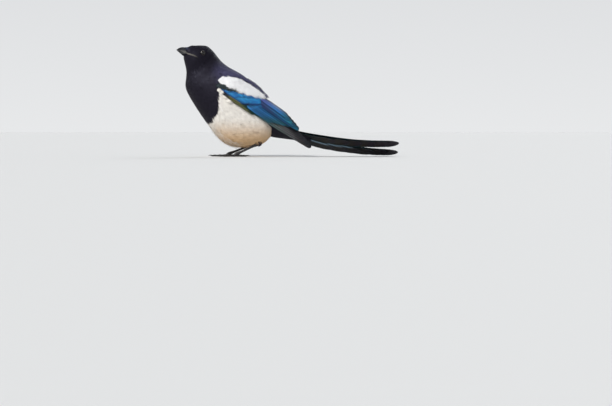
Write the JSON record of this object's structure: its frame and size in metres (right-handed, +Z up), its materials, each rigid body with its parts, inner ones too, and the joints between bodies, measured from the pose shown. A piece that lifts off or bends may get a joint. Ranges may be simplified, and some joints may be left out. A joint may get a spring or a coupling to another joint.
{
  "type": "eurasian magpie, still life-size model",
  "caption": "Standing black-and-white crow-family bird with blue wings, head turned to its left and a long graduated tail laid on the floor.",
  "frame": {"origin": "on the floor, below the middle of the whole bird", "axes": "+Z up, the bird faces -X, its left side is at -Y"},
  "size_m": [0.3852, 0.0866, 0.194],
  "materials": {
    "dark_plumage": "silky black feathers with a faint violet-blue gloss",
    "white_plumage": "soft creamy white feathers",
    "blue_plumage": "glossy azure flight feathers",
    "tail_plumage": "glossy black feathers with a green and bronze sheen",
    "horn": "smooth dark horn",
    "leg_skin": "scaled black skin",
    "eye": "wet dark brown eye"
  },
  "bodies": {
    "root": {"head": "dark_plumage", "neck": "dark_plumage", "torso": "white_plumage", "bill_upper": "horn", "bill_lower": "horn", "eye_left": "eye", "eye_right": "eye", "wing_left": "blue_plumage", "wing_right": "blue_plumage", "tail": "tail_plumage", "thigh_left": "white_plumage", "tarsus_left": "leg_skin", "toe_middle_left": "leg_skin", "claw_middle_left": "horn", "toe_inner_left": "leg_skin", "claw_inner_left": "horn", "toe_outer_left": "leg_skin", "claw_outer_left": "horn", "toe_hind_left": "leg_skin", "claw_hind_left": "horn", "thigh_right": "white_plumage", "tarsus_right": "leg_skin", "toe_middle_right": "leg_skin", "claw_middle_right": "horn", "toe_inner_right": "leg_skin", "claw_inner_right": "horn", "toe_outer_right": "leg_skin", "claw_outer_right": "horn", "toe_hind_right": "leg_skin", "claw_hind_right": "horn"}
  },
  "joints": []
}
